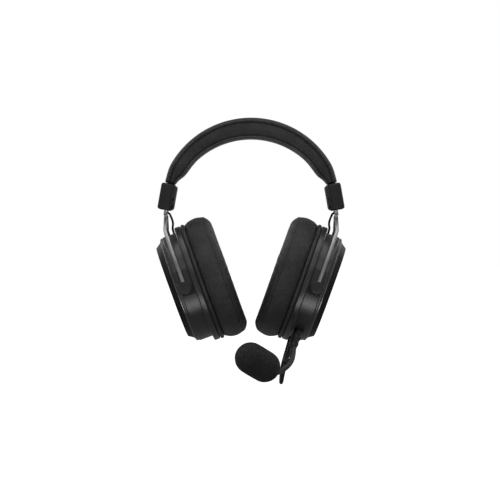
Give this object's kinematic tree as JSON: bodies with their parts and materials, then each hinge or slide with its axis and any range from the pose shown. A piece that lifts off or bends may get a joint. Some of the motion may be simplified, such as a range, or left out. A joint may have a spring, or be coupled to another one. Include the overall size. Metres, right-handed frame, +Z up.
{
  "type": "gaming headset",
  "caption": "Over-ear headset with a padded sprung headband, sliding metal yokes, tilting ear cups, a plug-in gooseneck microphone and a tied cord.",
  "frame": {"origin": "middle of the headband pad's underside, where it rests on the head", "axes": "+Z up through the crown, +X to the wearer's left, -Y the way the wearer faces"},
  "size_m": [0.1644, 0.1655, 0.2326],
  "materials": {
    "steel": "brushed",
    "headband_leather": "fine-grained leatherette",
    "pad_leather": "soft leatherette",
    "wire_black": "satin",
    "housing_plastic": "fine matte",
    "screw_black": "black",
    "yoke_metal": "satin grey",
    "disc_metal": "satin grey",
    "barrel_plastic": "satin dark grey",
    "cap_plastic": "matte black",
    "trim_metal": "satin",
    "brass": "plain",
    "inner_plastic": "matte",
    "magnet_steel": "plated",
    "diaphragm_film": "thin film",
    "cloth_black": "fine mesh cloth",
    "cushion_leather": "soft leatherette",
    "cord_rubber": "satin",
    "tie_fabric": "hook-and-loop",
    "plug_gold": "plated",
    "boot_rubber": "soft matte",
    "board_green": "solder mask",
    "gooseneck_black": "smooth sleeve",
    "foam_black": "open-cell foam"
  },
  "bodies": {
    "headband": {"headband_spring": "steel", "headband_cover": "headband_leather", "headband_cushion": "pad_leather", "headband_wire": "wire_black", "left_slider_housing": "housing_plastic", "left_slider_lid": "housing_plastic", "left_lid_screws": "screw_black", "left_detent_spring": "steel", "right_slider_housing": "housing_plastic", "right_slider_lid": "housing_plastic", "right_lid_screws": "screw_black", "right_detent_spring": "steel"},
    "left_yoke": {"left_yoke": "yoke_metal", "left_pivot_pins": "disc_metal", "left_link_wire": "wire_black", "cord_coil": "cord_rubber", "cord_tail": "cord_rubber", "cord_tie": "tie_fabric", "headset_plug": "plug_gold", "headset_plug_grip": "boot_rubber"},
    "right_yoke": {"right_yoke": "yoke_metal", "right_pivot_pins": "disc_metal", "right_link_wire": "wire_black"},
    "left_cup": {"left_cup_housing": "barrel_plastic", "left_outer_cap": "cap_plastic", "left_trim_ring": "trim_metal", "left_baffle": "barrel_plastic", "left_pivot_bushes": "brass", "left_driver_frame": "inner_plastic", "left_driver_magnet": "magnet_steel", "left_diaphragm": "diaphragm_film", "left_driver_grille": "inner_plastic", "left_acoustic_cloth": "cloth_black", "left_cushion_ring": "inner_plastic", "left_ear_cushion": "cushion_leather", "left_cup_screws": "steel", "mic_socket": "cap_plastic", "junction_board": "board_green", "strain_relief": "boot_rubber", "cord_run": "cord_rubber"},
    "right_cup": {"right_cup_housing": "barrel_plastic", "right_outer_cap": "cap_plastic", "right_trim_ring": "trim_metal", "right_baffle": "barrel_plastic", "right_pivot_bushes": "brass", "right_driver_frame": "inner_plastic", "right_driver_magnet": "magnet_steel", "right_diaphragm": "diaphragm_film", "right_driver_grille": "inner_plastic", "right_acoustic_cloth": "cloth_black", "right_cushion_ring": "inner_plastic", "right_ear_cushion": "cushion_leather", "right_cup_screws": "steel"},
    "mic_base": {"mic_plug": "plug_gold", "mic_boot": "boot_rubber", "gooseneck_lower": "gooseneck_black"},
    "mic_head": {"gooseneck_upper": "gooseneck_black", "mic_capsule_holder": "inner_plastic", "mic_capsule": "steel", "mic_windscreen": "foam_black"}
  },
  "joints": [
    {"name": "left_slide", "type": "slide", "parent": "headband", "child": "left_yoke", "axis": [0.1736, 0, -0.9848], "range_m": [0, 0.024]},
    {"name": "right_slide", "type": "slide", "parent": "headband", "child": "right_yoke", "axis": [-0.1736, 0, -0.9848], "range_m": [0, 0.024]},
    {"name": "left_tilt", "type": "hinge", "parent": "left_yoke", "child": "left_cup", "pos_m": [0.0561, 0, -0.1288], "axis": [0, -1, 0], "range_deg": [-3.5, 18], "deforming": ["left_link_wire", "cord_run"]},
    {"name": "right_tilt", "type": "hinge", "parent": "right_yoke", "child": "right_cup", "pos_m": [-0.0561, 0, -0.1288], "axis": [0, 1, 0], "range_deg": [-3.5, 18], "deforming": ["right_link_wire"]},
    {"name": "mic_pull", "type": "slide", "parent": "left_cup", "child": "mic_base", "axis": [-0.2802, -0.5736, -0.7698], "range_m": [0, 0.014]},
    {"name": "mic_flex", "type": "hinge", "parent": "mic_base", "child": "mic_head", "pos_m": [0.0302, -0.0492, -0.1959], "axis": [0.6712, -0.7413, 0], "range_deg": [-20, 25]}
  ]
}
